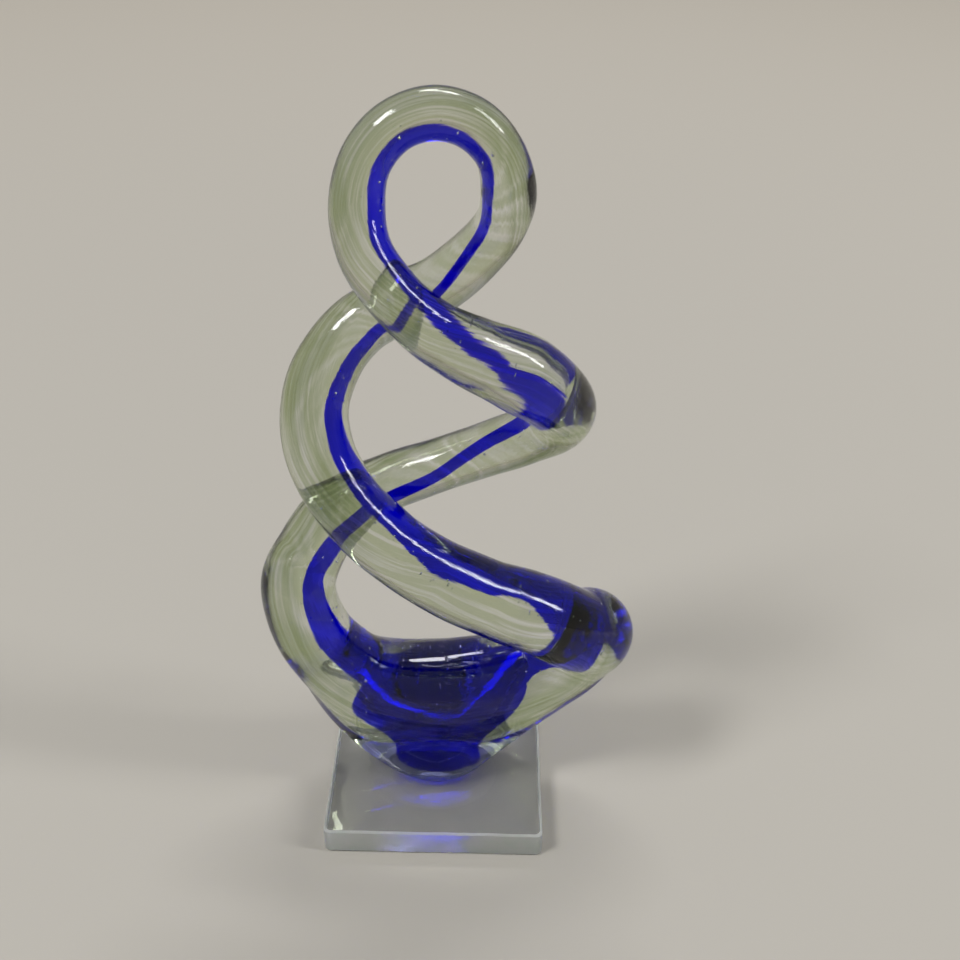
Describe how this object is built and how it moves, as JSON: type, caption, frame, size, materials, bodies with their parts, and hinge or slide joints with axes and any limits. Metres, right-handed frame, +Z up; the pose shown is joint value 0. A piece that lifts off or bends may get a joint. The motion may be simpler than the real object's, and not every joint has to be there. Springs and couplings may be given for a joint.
{
  "type": "glass spiral sculpture",
  "caption": "Free-standing hand-worked glass ornament: a clear rope with a cobalt blue core, wound into an open twisted knot and bonded to a clear glass plate.",
  "frame": {"origin": "centre of the plate's underside, where the sculpture stands", "axes": "+Z up through the knot, +X to the right and +Y to the back as the sculpture is seen from its front"},
  "size_m": [0.1489, 0.094, 0.3002],
  "materials": {
    "plate_glass": "polished clear plate glass with ground, slightly green edges",
    "adhesive": "thin film of clear cured adhesive",
    "clear_glass": "fire-polished clear glass with faint draw lines and seed bubbles",
    "cobalt_glass": "transparent deep cobalt blue glass, cased in clear"
  },
  "bodies": {
    "root": {"base_plate": "plate_glass", "bond_film": "adhesive", "clear_casing": "clear_glass", "cobalt_core": "cobalt_glass"}
  },
  "joints": []
}
